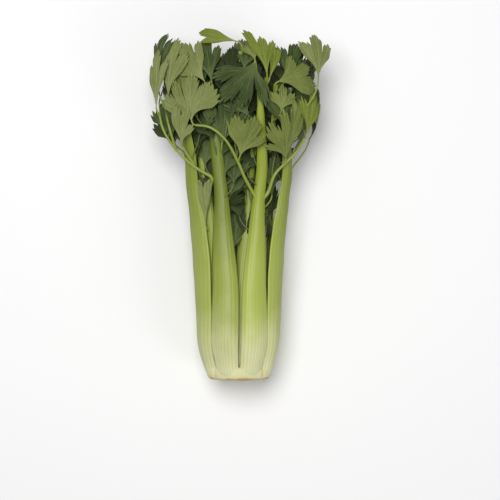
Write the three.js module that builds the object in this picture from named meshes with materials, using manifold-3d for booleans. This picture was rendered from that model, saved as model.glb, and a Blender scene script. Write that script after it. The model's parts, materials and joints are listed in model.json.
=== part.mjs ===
// A head of celery lying on its side: a root base, three rings of stalks, the thin branches
// that leave them, and the leaves at the far end.
// Millimetres, +Z up. Root end towards -Y, leaf tips towards +Y. "Station" below means the
// distance from the cut root end along the head.

import * as THREE from "three";
import { mergeVertices } from "three/addons/utils/BufferGeometryUtils.js";
import Module from "manifold-3d";

const wasm = await Module();
wasm.setup();

// ---------------------------------------------------------------- driving dimensions

const GAP = 0.3; // clearance between neighbouring pieces
const DEGREE = Math.PI / 180;

// Profiles along the head: pairs of station and value.
const STALK_HALF_WIDTH = profile([
  [0, 26], [12, 36], [35, 43], [70, 45], [120, 48], [180, 54.5], [213, 60.5], [300, 64],
]);
const STALK_HALF_HEIGHT = profile([[0, 25], [12, 34], [35, 40], [70, 41], [180, 40], [300, 42]]);
const LEAF_HALF_WIDTH = profile([
  [150, 52], [213, 58], [232, 71], [258, 86], [290, 90], [338, 90], [352, 84], [358, 68],
]);
const LEAF_HALF_HEIGHT = profile([
  [150, 40], [213, 43], [250, 50], [300, 51], [335, 45], [352, 34], [358, 27],
]);
const AXIS_HEIGHT = profile([[0, 36], [35, 40], [180, 40], [213, 43], [250, 50], [300, 51], [358, 48]]);

// A stalk is a curved trough: its width, its wall and how far its middle stands above its edges.
const STALK_WIDTH = profile([
  [10, 23.5], [35, 28.5], [70, 28], [120, 23], [180, 13.2], [230, 10.6], [300, 6],
]);
const STALK_WALL = profile([[10, 8.5], [70, 8], [120, 7], [180, 5.4], [230, 4.4], [300, 3.4]]);
const STALK_CROWN = profile([[10, 4.2], [35, 4.6], [70, 5], [120, 4.6], [180, 3.8], [230, 2], [300, 0.5]]);
const STALK_POINTS = 12; // corners of one stalk section
const STALK_STATIONS = 11; // sections of one stalk
const BEND_STATION = 180; // past this a stalk leaves its ring and bends towards its leaves

// Ring: share of the stalk bundle's half width and height, where it starts, and its scale.
const OUTER = { share: 0.86, start: 12, scale: 1 };
const MIDDLE = { share: 0.57, start: 22, scale: 0.72 };
const HEART = { share: 0.22, start: 34, scale: 0.46 };

const BRANCH_RADIUS = 1.25;
const BRANCH_SIDES = 6;

const LEAF_BAND = 0.009; // half the thickness of a leaf, as a share of the leaf mass's half height
const LEAF_OUTLINE = profile([[0, 0.1], [0.25, 0.5], [0.5, 0.92], [0.68, 1], [0.85, 0.84], [1, 0.4]]);
const LEAF_CELLS = { across: 5, along: 4 };

// ---------------------------------------------------------------- layout

// angle: place round the ring in degrees at the base and at the bend, 0 to the right, 90 on top.
// bend: share of the ring's size and share of the stalk's width at the bend, where not 1 and 1.
// tip: where the stalk ends on the leaf mass, as the side it faces, across, station and depth.
const STALKS = [
  { name: "stalk_outer_1", ring: OUTER, angle: [166, 157], bend: [1.07, 1.85], tip: [158, 6, 270, 0.86] },
  { name: "stalk_outer_2", ring: MIDDLE, angle: [148, 136], bend: [1.4, 1], tip: [90, -51, 280, 0.62] },
  { name: "stalk_outer_3", ring: OUTER, angle: [114, 112], bend: [1, 1.18], tip: [90, -28, 286, 0.5] },
  { name: "stalk_outer_4", ring: OUTER, angle: [61, 62.4], bend: [1, 1.04], tip: [90, 22.3, 284, 0.84] },
  { name: "stalk_outer_5", ring: OUTER, angle: [10.5, 20.5], bend: [1.08, 1.5], tip: [30, -2, 282, 0.82] },
  { name: "stalk_outer_6", ring: OUTER, angle: [218, 222], bend: [1, 1], tip: [235, 0, 258, 0.86] },
  { name: "stalk_outer_7", ring: OUTER, angle: [269, 268], bend: [1, 1], tip: [270, 4, 268, 0.84] },
  { name: "stalk_outer_8", ring: OUTER, angle: [320, 316], bend: [1, 1], tip: [305, 0, 260, 0.86] },
  { name: "stalk_middle_1", ring: MIDDLE, angle: [84, 69], bend: [1, 0.95], tip: [90, 29, 303, 0.8] },
  { name: "stalk_middle_2", ring: MIDDLE, angle: [26, 24], bend: [1, 0.95], tip: [90, 38, 296, 0.86] },
  { name: "stalk_middle_3", ring: MIDDLE, angle: [212, 206], bend: [1, 1], tip: [188, 0, 282, 0.76] },
  { name: "stalk_middle_4", ring: MIDDLE, angle: [290, 300], bend: [1, 1], tip: [272, -8, 296, 0.76] },
  { name: "stalk_heart_1", ring: HEART, angle: [70, 70], bend: [1, 1], tip: [90, 2, 330, 0.74] },
  { name: "stalk_heart_2", ring: HEART, angle: [190, 180], bend: [1, 1], tip: [110, -10, 262, 0.5] },
  { name: "stalk_heart_3", ring: HEART, angle: [310, 300], bend: [1, 1], tip: [290, 6, 290, 0.46] },
];

// route: across, station and depth on the top side of the leaf mass, from the stalk out.
const BRANCHES = [
  {
    name: "branch_4_left",
    route: [
      [13, 194, 0.8], [6, 207, 0.86], [0, 221, 0.89], [-13, 243, 0.91], [-28, 254.5, 0.925], [-43, 257, 0.93],
    ],
  },
  {
    name: "branch_4_right",
    route: [[31, 193, 0.85], [37, 209, 0.92], [48, 221, 0.95], [59, 232, 0.95], [67, 245.5, 0.955]],
  },
  { name: "branch_4_top", route: [[20.5, 287, 0.86], [19, 303, 0.89], [17.5, 317, 0.94]] },
  {
    name: "branch_2_left",
    route: [[-29, 208, 0.86], [-44, 217, 0.95], [-64, 236, 0.97], [-76, 256, 0.965], [-80.5, 282, 0.93]],
  },
  {
    name: "branch_2_up",
    route: [[-64.5, 240, 0.96], [-69, 256, 0.93], [-72, 270, 0.88], [-70.5, 283.5, 0.86]],
  },
  { name: "branch_1_side", route: [[-45.5, 221, 0.93], [-51, 229, 0.95], [-56, 237.5, 0.97]] },
];

const PALE = 0x93996b;
const BRIGHT = 0x82913c;
const OLIVE = 0x6f7a42;
const DARK = 0x475330;

// side: the side of the leaf mass that the leaf faces. at: its base, as place across and station.
// turn: the way it points, 90 towards the tips. depth: share of the leaf mass's half height.
const LEAVES = [
  { name: "leaf_4_left_tip", side: 90, at: [-46, 261], turn: 95, size: [56, 46], depth: 0.96, color: PALE },
  { name: "leaf_4_left_side", side: 90, at: [2, 226], turn: 80, size: [34, 41], depth: 0.96, color: OLIVE },
  { name: "leaf_4_right_side", side: 90, at: [48, 224], turn: 93, size: [39, 54], depth: 0.96, color: OLIVE },
  { name: "leaf_4_right_tip", side: 90, at: [68, 248], turn: 80, size: [21, 44], depth: 1, color: BRIGHT },
  { name: "leaf_4_top", side: 90, at: [17, 320], turn: 260, size: [58, 52], depth: 1, color: DARK },
  { name: "leaf_4_back", side: 90, at: [17, 321], turn: 104, size: [20, 24], depth: 0.88, color: OLIVE },
  { name: "leaf_4_low", side: 90, at: [34, 186], turn: 88, size: [16, 44], depth: 0.78, color: DARK },
  { name: "leaf_middle_2_tip", side: 90, at: [39, 299], turn: 18, size: [42, 44], depth: 1, color: OLIVE },
  { name: "leaf_middle_2_left", side: 90, at: [47, 302], turn: 72, size: [30, 38], depth: 0.88, color: DARK },
  { name: "leaf_middle_2_side", side: 90, at: [43, 270], turn: 86, size: [34, 28], depth: 0.92, color: OLIVE },
  { name: "leaf_middle_1_tip", side: 90, at: [29, 306], turn: 100, size: [32, 51], depth: 0.92, color: BRIGHT },
  { name: "leaf_middle_1_right", side: 90, at: [31, 301], turn: 75, size: [14, 38], depth: 0.96, color: BRIGHT },
  { name: "leaf_2_left_up", side: 90, at: [-70, 286], turn: 82, size: [37, 60], depth: 0.925, color: PALE },
  { name: "leaf_2_left_tip", side: 150, at: [-24, 275], turn: 90, size: [28, 58], depth: 1, color: PALE },
  { name: "leaf_2_tip", side: 90, at: [-51, 286], turn: 97, size: [34, 52], depth: 0.84, color: OLIVE },
  { name: "leaf_2_low", side: 90, at: [-33, 158], turn: 91, size: [17, 46], depth: 0.94, color: PALE },
  { name: "leaf_1_side", side: 90, at: [-56, 238], turn: 93, size: [21, 39], depth: 1, color: PALE },
  { name: "leaf_1_tip", side: 150, at: [-27, 306], turn: 90, size: [24, 46], depth: 0.94, color: DARK },
  { name: "leaf_1_low", side: 152, at: [-16, 240], turn: 94, size: [34, 44], depth: 0.9, color: DARK },
  { name: "leaf_3_tip", side: 90, at: [-26, 300], turn: 98, size: [26, 44], depth: 0.84, color: DARK },
  { name: "leaf_3_left", side: 90, at: [-33, 300], turn: 120, size: [28, 42], depth: 0.88, color: PALE },
  { name: "leaf_heart_1_tip", side: 90, at: [0, 340], turn: 168, size: [14, 40], depth: 0.96, color: BRIGHT },
  { name: "leaf_heart_1_right", side: 90, at: [6, 312], turn: 84, size: [38, 30], depth: 0.8, color: DARK },
  { name: "leaf_heart_2_tip", side: 90, at: [-16, 238], turn: 84, size: [38, 46], depth: 0.85, color: DARK },
  { name: "leaf_heart_3_tip", side: 270, at: [-6, 293], turn: 90, size: [44, 56], depth: 0.5, color: DARK },
  { name: "leaf_5_tip", side: 35, at: [19, 305], turn: 84, size: [28, 46], depth: 1.1, color: PALE },
  { name: "leaf_5_left", side: 50, at: [14, 252], turn: 96, size: [34, 46], depth: 0.86, color: DARK },
  { name: "leaf_5_right", side: 0, at: [6, 246], turn: 92, size: [38, 50], depth: 0.92, color: OLIVE },
  { name: "leaf_5_low", side: 40, at: [30, 236], turn: 84, size: [30, 40], depth: 0.84, color: DARK },
  { name: "leaf_middle_3_tip", side: 190, at: [0, 285], turn: 94, size: [40, 56], depth: 0.84, color: OLIVE },
  { name: "leaf_6_tip", side: 235, at: [0, 261], turn: 92, size: [44, 54], depth: 1, color: OLIVE },
  { name: "leaf_6_left", side: 215, at: [6, 244], turn: 60, size: [34, 42], depth: 0.88, color: PALE },
  { name: "leaf_7_tip", side: 270, at: [-4, 271], turn: 92, size: [48, 56], depth: 0.92, color: OLIVE },
  { name: "leaf_7_left", side: 270, at: [14, 240], turn: 60, size: [36, 46], depth: 0.96, color: PALE },
  { name: "leaf_7_right", side: 270, at: [-12, 238], turn: 118, size: [36, 46], depth: 0.96, color: OLIVE },
  { name: "leaf_8_tip", side: 305, at: [0, 263], turn: 88, size: [44, 54], depth: 1, color: OLIVE },
  { name: "leaf_8_right", side: 330, at: [-4, 262], turn: 96, size: [36, 52], depth: 0.88, color: PALE },
  { name: "leaf_middle_4_tip", side: 265, at: [-8, 299], turn: 88, size: [46, 54], depth: 0.84, color: DARK },
];

// ---------------------------------------------------------------- curves and frames

// A smooth curve through pairs of place and value, flat beyond its ends.
function profile(pairs) {
  const slopes = pairs.map((pair, i) => {
    const before = pairs[Math.max(i - 1, 0)];
    const after = pairs[Math.min(i + 1, pairs.length - 1)];
    return (after[1] - before[1]) / (after[0] - before[0]);
  });
  return (place) => {
    const last = pairs.length - 1;
    if (place <= pairs[0][0]) return pairs[0][1];
    if (place >= pairs[last][0]) return pairs[last][1];
    const i = pairs.findIndex((pair) => pair[0] > place) - 1;
    const span = pairs[i + 1][0] - pairs[i][0];
    const t = (place - pairs[i][0]) / span;
    const rise = pairs[i + 1][1] - pairs[i][1];
    const startSlope = slopes[i] * span;
    const endSlope = slopes[i + 1] * span;
    const bend = startSlope + endSlope - 2 * rise;
    return pairs[i][1] + t * (startSlope + t * (rise - startSlope - bend + t * bend));
  };
}

// The point on the leaf mass at a depth, seen from one side of it: 0 right, 90 top, 270 below.
function onLeafMass(side, across, station, depth) {
  const halfWidth = LEAF_HALF_WIDTH(station);
  const halfHeight = LEAF_HALF_HEIGHT(station);
  const outX = Math.cos(side * DEGREE);
  const outZ = Math.sin(side * DEGREE);
  const sideX = (across * outZ) / halfWidth;
  const sideZ = (-across * outX) / halfHeight;
  const a = (outX / halfWidth) ** 2 + (outZ / halfHeight) ** 2;
  const b = (sideX * outX) / halfWidth + (sideZ * outZ) / halfHeight;
  const c = sideX ** 2 + sideZ ** 2 - depth ** 2;
  const out = (-b + Math.sqrt(Math.max(b * b - a * c, 0))) / a;
  const x = across * outZ + out * outX;
  const z = AXIS_HEIGHT(station) - across * outX + out * outZ;
  return new THREE.Vector3(x, station, z);
}

// The middle of a stalk's wall at a station, the way its back faces, and its share of full width.
function stalkFrame(stalk, station) {
  const toBend = Math.min(station / BEND_STATION, 1);
  const ease = toBend * toBend * (3 - 2 * toBend);
  const angle = THREE.MathUtils.lerp(stalk.angle[0], stalk.angle[1], ease) * DEGREE;
  const share = stalk.ring.share * THREE.MathUtils.lerp(1, stalk.bend[0], ease);
  const wide = THREE.MathUtils.lerp(1, stalk.bend[1], ease);
  const halfWidth = STALK_HALF_WIDTH(station);
  const halfHeight = STALK_HALF_HEIGHT(station);
  const x = halfWidth * share * Math.cos(angle);
  const z = AXIS_HEIGHT(station) + halfHeight * share * Math.sin(angle);
  const middle = new THREE.Vector3(x, station, z);
  const [side, across, tipStation, depth] = stalk.tip;
  const past = Math.max((station - BEND_STATION) / (tipStation - BEND_STATION), 0);
  middle.lerp(onLeafMass(side, across, station, depth), past * past);
  const out = new THREE.Vector3(Math.cos(angle) / halfWidth, 0, Math.sin(angle) / halfHeight);
  return { middle, out: out.normalize(), wide };
}

// ---------------------------------------------------------------- pieces

// The root base: a turned cone of steps, one step under each ring of stalks, squeezed to the
// bundle's width and height.
function baseGeometry() {
  const outerStep = OUTER.start - GAP;
  const middleStep = MIDDLE.start - GAP;
  const heartStep = HEART.start - GAP;
  const outline = [
    [0, 0], [0.72, 0], [0.92, 2.5], [0.99, 7], [0.985, outerStep],
    [0.69, outerStep], [0.67, middleStep], [0.4, middleStep], [0.36, heartStep], [0, heartStep],
  ];
  const points = outline.map(([share, station]) => new THREE.Vector2(share, station));
  const geometry = new THREE.LatheGeometry(points, 28);
  const position = geometry.attributes.position;
  for (let i = 0; i < position.count; i++) {
    const station = position.getY(i);
    const x = position.getX(i) * STALK_HALF_WIDTH(station);
    const z = AXIS_HEIGHT(station) + position.getZ(i) * STALK_HALF_HEIGHT(station);
    position.setXYZ(i, x, station, z);
  }
  return geometry;
}

// A stalk: a closed tube of trough-shaped sections, grown all round by the given amount.
function stalkGeometry(stalk, grown) {
  const { start, scale } = stalk.ring;
  const end = stalk.tip[2];
  const geometry = new THREE.CylinderGeometry(1, 1, 1, STALK_POINTS, STALK_STATIONS);
  const position = geometry.attributes.position;
  for (let i = 0; i < position.count; i++) {
    const along = position.getY(i) + 0.5;
    const station = start + (end - start) * along;
    const { middle, out, wide } = stalkFrame(stalk, station);
    const width = STALK_WIDTH(station) * scale * wide + 2 * grown;
    const wall = STALK_WALL(station) * scale + 2 * grown;
    const crown = STALK_CROWN(station) * scale;
    const cosine = position.getX(i);
    const sine = position.getZ(i);
    const radius = Math.hypot(cosine, sine);
    const rise = radius > 0.5 ? (wall / 2) * sine - crown * cosine * cosine : 0;
    const x = middle.x + out.x * rise + out.z * (width / 2) * cosine;
    const z = middle.z + out.z * rise - out.x * (width / 2) * cosine;
    const overrun = grown * (2 * along - 1);
    position.setXYZ(i, x, station + overrun, z);
  }
  return geometry;
}

// A branch: a round tube along its route.
function branchGeometry(branch, grown) {
  const points = branch.route.map(([across, station, depth]) => onLeafMass(90, across, station, depth));
  const path = new THREE.CatmullRomCurve3(points);
  const radius = BRANCH_RADIUS + grown;
  const corners = [];
  for (let i = 0; i < BRANCH_SIDES; i++) {
    const angle = (2 * Math.PI * i) / BRANCH_SIDES;
    corners.push(new THREE.Vector2(radius * Math.cos(angle), radius * Math.sin(angle)));
  }
  const section = new THREE.Shape(corners);
  const steps = 3 * (points.length - 1);
  return new THREE.ExtrudeGeometry(section, { steps, extrudePath: path, bevelEnabled: false });
}

// A leaf: a thin plate of the leaf's outline, laid on the leaf mass.
function leafGeometry(leaf, grown) {
  const [width, length] = leaf.size;
  const geometry = new THREE.BoxGeometry(1, 1, 1, LEAF_CELLS.across, LEAF_CELLS.along, 1);
  const position = geometry.attributes.position;
  const cosine = Math.cos(leaf.turn * DEGREE);
  const sine = Math.sin(leaf.turn * DEGREE);
  for (let i = 0; i < position.count; i++) {
    const share = position.getY(i) + 0.5;
    const along = share * length + grown * (2 * share - 1);
    const across = position.getX(i) * (width * LEAF_OUTLINE(share) + 2 * grown);
    const placeAcross = leaf.at[0] + along * cosine + across * sine;
    const station = leaf.at[1] + along * sine - across * cosine;
    const band = LEAF_BAND + grown / LEAF_HALF_HEIGHT(station);
    const depth = leaf.depth + 2 * position.getZ(i) * band;
    const point = onLeafMass(leaf.side, placeAcross, station, depth);
    position.setXYZ(i, point.x, point.y, point.z);
  }
  return geometry;
}

// ---------------------------------------------------------------- cutting neighbours clear

function solidOf(geometry) {
  const bare = geometry.clone();
  bare.deleteAttribute("normal");
  bare.deleteAttribute("uv");
  const merged = mergeVertices(bare, 1e-4);
  const vertProperties = Float32Array.from(merged.attributes.position.array);
  const triVerts = Uint32Array.from(merged.index.array);
  return new wasm.Manifold(new wasm.Mesh({ numProp: 3, vertProperties, triVerts }));
}

function geometryOf(solid) {
  const mesh = solid.getMesh();
  const geometry = new THREE.BufferGeometry();
  geometry.setAttribute("position", new THREE.BufferAttribute(mesh.vertProperties, 3));
  geometry.setIndex(new THREE.BufferAttribute(mesh.triVerts, 1));
  return geometry;
}

// The leaf without what its neighbours take up. Where a cut parts it, its largest piece stays.
function carve(geometry, neighbours) {
  const whole = solidOf(geometry);
  let rest = whole;
  for (const neighbour of neighbours) rest = rest.subtract(neighbour);
  if (rest.volume() > whole.volume() - 0.001) return geometry;
  const pieces = rest.decompose().sort((p, q) => q.volume() - p.volume());
  return geometryOf(pieces[0]);
}

// ---------------------------------------------------------------- the head

const head = new THREE.Group();

function addPiece(name, geometry, color, roughness) {
  geometry.computeVertexNormals();
  const material = new THREE.MeshStandardMaterial({ color, roughness, metalness: 0 });
  const mesh = new THREE.Mesh(geometry, material);
  mesh.name = name;
  head.add(mesh);
}

addPiece("base", baseGeometry(), 0xded9b4, 0.6);

const taken = [];
for (const stalk of STALKS) {
  addPiece(stalk.name, stalkGeometry(stalk, 0), 0x96a052, 0.42);
  taken.push(solidOf(stalkGeometry(stalk, GAP)));
}
for (const branch of BRANCHES) {
  addPiece(branch.name, branchGeometry(branch, 0), 0xa0aa58, 0.5);
  taken.push(solidOf(branchGeometry(branch, GAP)));
}
const outermostFirst = [...LEAVES].sort((p, q) => q.depth - p.depth);
for (const leaf of outermostFirst) {
  addPiece(leaf.name, carve(leafGeometry(leaf, 0), taken), leaf.color, 0.6);
  taken.push(solidOf(leafGeometry(leaf, GAP)));
}

// The head's own origin: under the middle of its box, on the surface it lies on.
head.updateMatrixWorld(true);
const box = new THREE.Box3().setFromObject(head);
const middle = box.getCenter(new THREE.Vector3());
head.position.set(-middle.x, -middle.y, -box.min.z);

export default head;
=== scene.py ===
"""A head of celery lying on its side: the ribbed stalks, the root base, the thin branches
and the toothed leaves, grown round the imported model. Metres, +Z up, leaf tips towards +Y."""

import json
import math

import bpy
import numpy as np
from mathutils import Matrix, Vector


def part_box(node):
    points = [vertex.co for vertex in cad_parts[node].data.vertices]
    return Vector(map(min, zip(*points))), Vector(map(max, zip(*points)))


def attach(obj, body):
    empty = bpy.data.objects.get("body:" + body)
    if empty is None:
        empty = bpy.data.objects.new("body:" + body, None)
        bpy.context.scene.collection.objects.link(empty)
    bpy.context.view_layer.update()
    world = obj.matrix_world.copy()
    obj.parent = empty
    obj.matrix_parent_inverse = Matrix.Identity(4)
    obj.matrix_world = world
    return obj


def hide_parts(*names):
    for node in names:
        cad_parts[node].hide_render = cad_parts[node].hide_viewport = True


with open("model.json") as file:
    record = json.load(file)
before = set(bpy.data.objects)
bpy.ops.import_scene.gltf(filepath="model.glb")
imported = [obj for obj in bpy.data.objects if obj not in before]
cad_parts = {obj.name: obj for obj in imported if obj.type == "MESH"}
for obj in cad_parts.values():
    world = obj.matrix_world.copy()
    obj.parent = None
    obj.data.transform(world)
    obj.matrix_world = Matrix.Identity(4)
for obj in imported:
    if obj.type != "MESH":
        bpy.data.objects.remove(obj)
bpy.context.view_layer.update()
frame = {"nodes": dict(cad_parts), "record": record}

MM = 0.001
BODY = "root"
NODES = frame["nodes"]
SLOT_OF = {part["node"]: part["material_slot"] for part in frame["record"]["subparts"]}
CORNERS = np.array([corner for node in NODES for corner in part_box(node)])
ROOT_END = CORNERS[:, 1].min()
FLOOR_HEIGHT = CORNERS[:, 2].min()
HEAD_CENTRE = np.array([0.0, 0.0, (FLOOR_HEIGHT + CORNERS[:, 2].max()) / 2])
random = np.random.default_rng(7)


# ---------------------------------------------------------------- small tools


def unit(vectors):
    return vectors / np.maximum(np.linalg.norm(vectors, axis=-1, keepdims=True), 1e-12)


def ease(share):
    share = np.clip(share, 0, 1)
    return share * share * (3 - 2 * share)


def through(places, values, place):
    """A smooth curve through rows of values, read at any place."""
    slopes = np.gradient(values, places, axis=0)
    place = np.clip(place, places[0], places[-1])
    at = np.clip(np.searchsorted(places, place, side="right") - 1, 0, len(places) - 2)
    span = (places[at + 1] - places[at])[..., None]
    t = (place - places[at])[..., None] / span
    rise = values[at + 1] - values[at]
    start, end = slopes[at] * span, slopes[at + 1] * span
    bend = start + end - 2 * rise
    return values[at] + t * (start + t * (rise - start - bend + t * bend))


def wobble(points, size, waves):
    """Smooth unevenness of about unit height, with bumps of the given size."""
    total = np.zeros(len(points))
    for direction, phase in waves:
        total += np.sin(points @ direction / size * 2 * math.pi + phase)
    return total / len(waves)


def new_waves(count=5):
    directions = unit(random.normal(size=(count, 3))) * random.uniform(0.6, 1.4, (count, 1))
    return list(zip(directions, random.uniform(0, 2 * math.pi, count)))


def deselect():
    bpy.ops.object.select_all(action="DESELECT")


def surface(name, rows, columns, place, closed):
    """A grid primitive whose vertices go where place says. place takes each vertex's row and
    column share and returns its point and its pattern coordinates."""
    deselect()
    bpy.ops.mesh.primitive_grid_add(x_subdivisions=columns, y_subdivisions=rows, size=2)
    piece = bpy.context.object
    piece.name = name
    mesh = piece.data
    mesh.name = name
    corners = np.empty(len(mesh.vertices) * 3)
    mesh.vertices.foreach_get("co", corners)
    corners = corners.reshape(-1, 3)
    points, pattern = place((corners[:, 1] + 1) / 2, (corners[:, 0] + 1) / 2)
    mesh.vertices.foreach_set("co", points.ravel())
    corner_vertex = np.empty(len(mesh.loops), dtype=int)
    mesh.loops.foreach_get("vertex_index", corner_vertex)
    mesh.uv_layers.active.data.foreach_set("uv", pattern[corner_vertex, :2].ravel())
    if pattern.shape[1] == 4:
        mesh.uv_layers.new(name="Teeth").data.foreach_set("uv", pattern[corner_vertex, 2:].ravel())
    mesh.update()
    if closed:
        bpy.ops.object.mode_set(mode="EDIT")
        bpy.ops.mesh.select_all(action="SELECT")
        bpy.ops.mesh.remove_doubles(threshold=0.01 * MM)
        bpy.ops.mesh.normals_make_consistent(inside=False)
        bpy.ops.object.mode_set(mode="OBJECT")
    bpy.ops.object.shade_smooth()
    return piece


def tube(name, path, radii, sides=8):
    """A closed round tube along a path, with its own radius at each point."""
    along = unit(np.gradient(path, axis=0))
    first = np.cross(along[0], [0.0, 0.0, 1.0])
    if np.linalg.norm(first) < 0.1:
        first = np.cross(along[0], [1.0, 0.0, 0.0])
    across = [unit(first)]
    for direction in along[1:]:
        across.append(unit(across[-1] - direction * (across[-1] @ direction)))
    across = np.array(across)
    other = np.cross(along, across)
    last = len(path) - 1
    rows = last + 2

    def place(row_share, column_share):
        row = np.rint(row_share * rows).astype(int)
        station = np.clip(row - 1, 0, last)
        radius = np.where((row == 0) | (row == rows), 0.0, radii[station])
        angle = 2 * math.pi * column_share
        side = across[station] * np.cos(angle)[:, None] + other[station] * np.sin(angle)[:, None]
        points = path[station] + side * radius[:, None]
        return points, np.stack([column_share, station / max(last, 1)], axis=1)

    return surface(name, rows, sides, place, closed=True)


def bezier(points, count):
    t = np.linspace(0, 1, count)[:, None]
    a, b, c, d = points
    return (1 - t) ** 3 * a + 3 * (1 - t) ** 2 * t * b + 3 * (1 - t) * t * t * c + t**3 * d


def coat(piece, *materials):
    piece.data.materials.clear()
    for material in materials:
        piece.data.materials.append(material)


def settle(piece, node):
    """Puts a piece in the place of its CAD node."""
    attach(piece, BODY)
    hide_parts(node)


# ---------------------------------------------------------------- camera, floor and lights

FRAME_WIDTH = 500 * MM  # what the frame spans at the height of the aim
AIM = (11.5 * MM, -45.7 * MM, 80 * MM)  # what the middle of the frame looks at
LENS = 100.0
SENSOR = 36.0
# Each lamp's name, place, tilt, width and power, in metres and watts.
LAMPS = [
    ("overhead softbox", (-0.25, 0.35, 1.7), (math.radians(-11), math.radians(-8), 0), 1.1, 25),
    ("side softbox", (1.3, -0.9, 1.1), (math.radians(38), math.radians(45), 0), 1.0, 6),
]


def stage():
    bpy.ops.object.camera_add(location=AIM)
    camera = bpy.context.object
    camera.data.lens = LENS
    camera.data.sensor_width = SENSOR
    camera.location.z = AIM[2] + FRAME_WIDTH * LENS / SENSOR
    bpy.context.scene.camera = camera

    bpy.ops.mesh.primitive_plane_add(size=6)
    floor = bpy.context.object
    floor.name = "floor"
    paper = bpy.data.materials.new("pale floor")
    paper.use_nodes = True
    shader = paper.node_tree.nodes["Principled BSDF"]
    shader.inputs["Base Color"].default_value = (0.93, 0.93, 0.93, 1)
    shader.inputs["Roughness"].default_value = 0.9
    floor.data.materials.append(paper)

    for name, place, tilt, width, power in LAMPS:
        bpy.ops.object.light_add(type="AREA", location=place, rotation=tilt)
        lamp = bpy.context.object
        lamp.name = name
        lamp.data.shape = "DISK"
        lamp.data.size = width
        lamp.data.energy = power
    world = bpy.data.worlds.new("pale room")
    world.use_nodes = True
    world.node_tree.nodes["Background"].inputs["Color"].default_value = (1, 1, 1, 1)
    world.node_tree.nodes["Background"].inputs["Strength"].default_value = 0.26
    bpy.context.scene.world = world
    bpy.context.scene.view_settings.view_transform = "Standard"


# ---------------------------------------------------------------- materials


class Shader:
    """A Principled material under construction: adds nodes and joins them."""

    def __init__(self, name, roughness, specular=0.4):
        self.material = bpy.data.materials.new(name)
        self.material.use_nodes = True
        self.tree = self.material.node_tree
        self.surface = self.tree.nodes["Principled BSDF"]
        self.surface.inputs["Roughness"].default_value = roughness
        self.surface.inputs["Specular IOR Level"].default_value = specular

    def add(self, kind, settings=None, **inputs):
        node = self.tree.nodes.new(kind)
        for key, value in (settings or {}).items():
            setattr(node, key, value)
        for key, value in inputs.items():
            socket = node.inputs[int(key[1:])] if key[0] == "i" and key[1:].isdigit() else node.inputs[key]
            self.feed(socket, value)
        return node

    def feed(self, socket, value):
        if isinstance(value, bpy.types.NodeSocket):
            self.tree.links.new(value, socket)
        else:
            socket.default_value = value

    def maths(self, operation, first, second=0.0, third=0.0):
        node = self.add("ShaderNodeMath", {"operation": operation}, i0=first, i1=second, i2=third)
        return node.outputs[0]

    def ramp(self, value, low, high, to_low=0.0, to_high=1.0):
        node = self.add("ShaderNodeMapRange", {"interpolation_type": "SMOOTHSTEP"}, i0=value, i1=low, i2=high)
        self.feed(node.inputs[3], to_low)
        self.feed(node.inputs[4], to_high)
        return node.outputs[0]

    def mix(self, share, first, second):
        node = self.add("ShaderNodeMix", {"data_type": "RGBA"})
        self.feed(node.inputs[0], share)
        self.feed(node.inputs[6], first)
        self.feed(node.inputs[7], second)
        return node.outputs[2]

    def noise(self, vector, scale, detail=3.0):
        node = self.add("ShaderNodeTexNoise", None, Vector=vector, Scale=scale, Detail=detail)
        return node.outputs[0]

    def stretched(self, vector, scale):
        node = self.add("ShaderNodeMapping", None, Vector=vector, Scale=scale)
        return node.outputs[0]

    def split(self, vector):
        return self.add("ShaderNodeSeparateXYZ", None, Vector=vector).outputs

    def bump(self, height, strength, distance):
        node = self.add("ShaderNodeBump", None, Strength=strength, Distance=distance, Height=height)
        self.feed(self.surface.inputs["Normal"], node.outputs[0])

    def places(self):
        return self.add("ShaderNodeTexCoord").outputs["Object"]

    def pattern(self):
        return self.add("ShaderNodeUVMap").outputs[0]


def rgb(red, green, blue):
    """A colour given as screen values from 0 to 255."""
    linear = [(c / 255 / 12.92) if c < 11 else ((c / 255 + 0.055) / 1.055) ** 2.4 for c in (red, green, blue)]
    return (*linear, 1.0)


def stalk_material(name, cream, yellow_green, green, cream_end, green_start):
    """Pale and creamy at the root, greener along the stalk, with fine streaks and ribs, and painted shade in
    the valleys between the ribs.
    """
    s = Shader(name, 0.4, 0.45)
    places = s.places()
    along = s.split(places)[1]
    cloud = s.noise(places, 28.0)
    shifted = s.maths("ADD", along, s.maths("MULTIPLY", s.maths("SUBTRACT", cloud, 0.5), 0.05))
    first = s.mix(s.ramp(shifted, ROOT_END + 0.004, ROOT_END + cream_end), cream, yellow_green)
    colour = s.mix(s.ramp(shifted, ROOT_END + green_start, ROOT_END + 0.21), first, green)
    rib, station, _ = s.split(s.pattern())
    # Painted shade: the colour is darkened in the valleys between the ribs, where shade falls.
    ridge = s.maths("COSINE", s.maths("MULTIPLY", rib, 2 * math.pi))
    rib_valley_shade = s.ramp(ridge, -1.0, 0.4, 1.0, 0.0)
    streak = s.noise(s.stretched(s.pattern(), (9.0, 0.35, 1.0)), 1.6, 4.0)
    darker = s.mix(0.5, colour, (0.22, 0.29, 0.05, 1))
    colour = s.mix(s.maths("MULTIPLY", rib_valley_shade, 0.35), colour, darker)
    colour = s.mix(s.ramp(streak, 0.35, 0.75, 0.0, 0.5), colour, s.mix(0.16, colour, (0.8, 0.84, 0.4, 1)))
    s.feed(s.surface.inputs["Base Color"], colour)
    s.feed(s.surface.inputs["Roughness"], s.ramp(streak, 0.3, 0.8, 0.34, 0.5))
    s.bump(streak, 0.25, 0.0006)
    return s.material


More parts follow.
